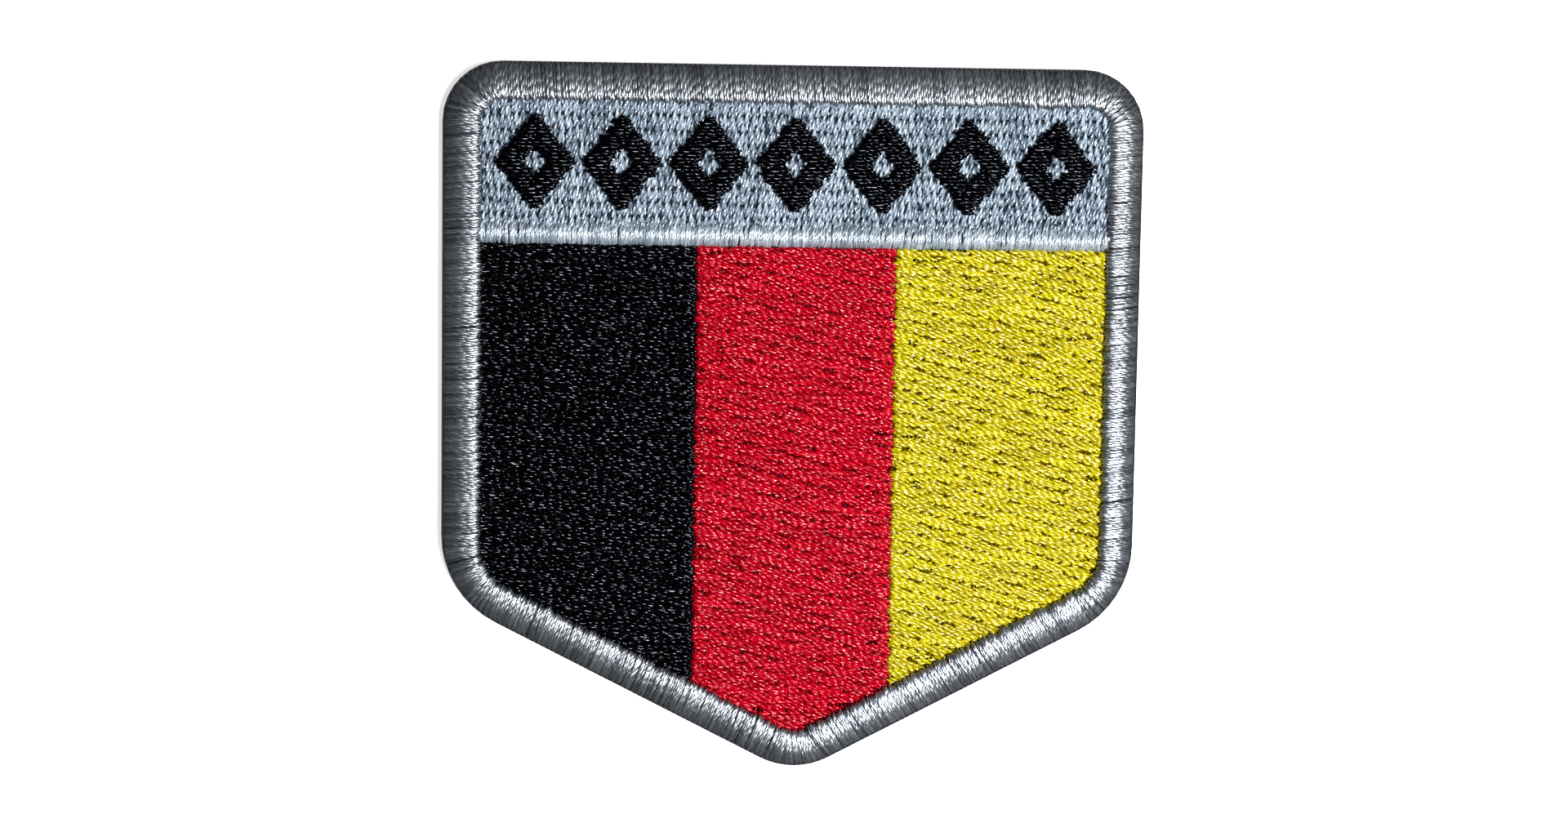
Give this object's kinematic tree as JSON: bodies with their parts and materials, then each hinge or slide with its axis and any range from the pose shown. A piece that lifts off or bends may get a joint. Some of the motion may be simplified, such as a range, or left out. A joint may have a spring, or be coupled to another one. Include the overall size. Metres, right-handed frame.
{
  "type": "embroidered clothing patch",
  "caption": "Shield-shaped embroidered patch with a stitched border, upright stripes and a header panel, sewn or ironed onto clothing.",
  "frame": {"origin": "under the middle of the patch, on the surface it lies on", "axes": "+Z out of the face, +Y towards the straight top edge, +X to the viewer's right"},
  "size_m": [0.0636, 0.0644, 0.0025],
  "materials": {
    "black_twill": "woven twill, stiffened",
    "silver_thread": "glossy polyester satin stitch",
    "white_thread": "glossy polyester fill stitch",
    "black_thread": "glossy polyester stitch",
    "red_thread": "glossy polyester fill stitch",
    "yellow_thread": "glossy polyester fill stitch"
  },
  "bodies": {
    "root": {"ground_cloth": "black_twill", "border": "silver_thread", "header_panel": "white_thread", "divider": "white_thread", "stripe_black": "black_thread", "stripe_red": "red_thread", "stripe_yellow": "yellow_thread", "lozenge_1": "black_thread", "lozenge_2": "black_thread", "lozenge_3": "black_thread", "lozenge_4": "black_thread", "lozenge_5": "black_thread", "lozenge_6": "black_thread", "lozenge_7": "black_thread"}
  },
  "joints": []
}
